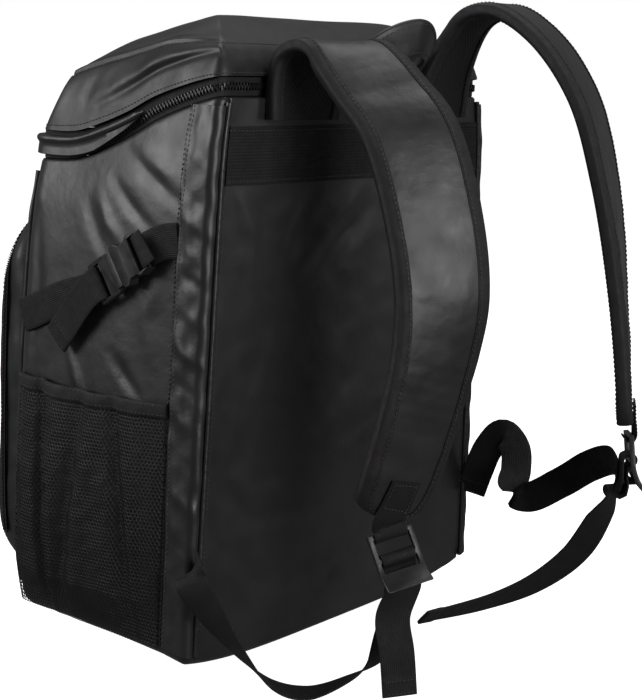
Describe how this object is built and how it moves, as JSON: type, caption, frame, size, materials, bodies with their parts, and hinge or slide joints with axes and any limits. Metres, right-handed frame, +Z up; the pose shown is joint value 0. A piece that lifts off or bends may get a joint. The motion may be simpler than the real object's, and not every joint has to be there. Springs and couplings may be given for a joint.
{
  "type": "insulated cooler backpack",
  "caption": "Black insulated cooler backpack hanging by its grab handle, with domed zip lid, mesh side pockets, buckled compression straps, front pocket and padded shoulder straps.",
  "frame": {"origin": "underside of the grab handle at its middle, where a hook carries the bag", "axes": "+Z up, +Y out of the back panel that lies against the wearer, +X to the side whose compression strap and pocket face the camera"},
  "size_m": [0.3805, 0.4695, 0.4861],
  "materials": {
    "coated_cloth": "satin",
    "lid_cloth": "satin",
    "tape": "matte",
    "webbing": "matte",
    "net": "matte",
    "plastic": "satin"
  },
  "bodies": {
    "root": {"body_shell": "coated_cloth", "back_panel": "coated_cloth", "gusset_right": "coated_cloth", "gusset_left": "coated_cloth", "front_binding_right": "coated_cloth", "front_binding_left": "coated_cloth", "lid_welt": "coated_cloth", "front_pocket": "coated_cloth", "shoulder_pad_right": "coated_cloth", "shoulder_pad_left": "coated_cloth", "grab_handle": "coated_cloth", "lid": "lid_cloth", "lid_hinge": "lid_cloth", "back_piping_right": "tape", "back_piping_left": "tape", "lid_zip_tape": "tape", "pocket_hem_right": "tape", "pocket_hem_left": "tape", "strap_binding_right": "tape", "strap_binding_left": "tape", "webbing_band": "webbing", "strap_anchor_right": "webbing", "strap_anchor_left": "webbing", "compression_webbing_right": "webbing", "compression_webbing_left": "webbing", "end_tab_right": "webbing", "end_tab_left": "webbing", "adjuster_webbing_right": "webbing", "adjuster_webbing_left": "webbing", "mesh_pocket_right": "net", "mesh_pocket_left": "net", "strap_mesh_right": "net", "strap_mesh_left": "net", "lid_zip_teeth": "plastic", "pocket_zip": "plastic", "lid_zip_slider_right": "plastic", "lid_zip_slider_left": "plastic", "buckle_socket_right": "plastic", "buckle_socket_left": "plastic", "buckle_plug_right": "plastic", "buckle_plug_left": "plastic", "ladder_lock_right": "plastic", "ladder_lock_left": "plastic"}
  },
  "joints": []
}
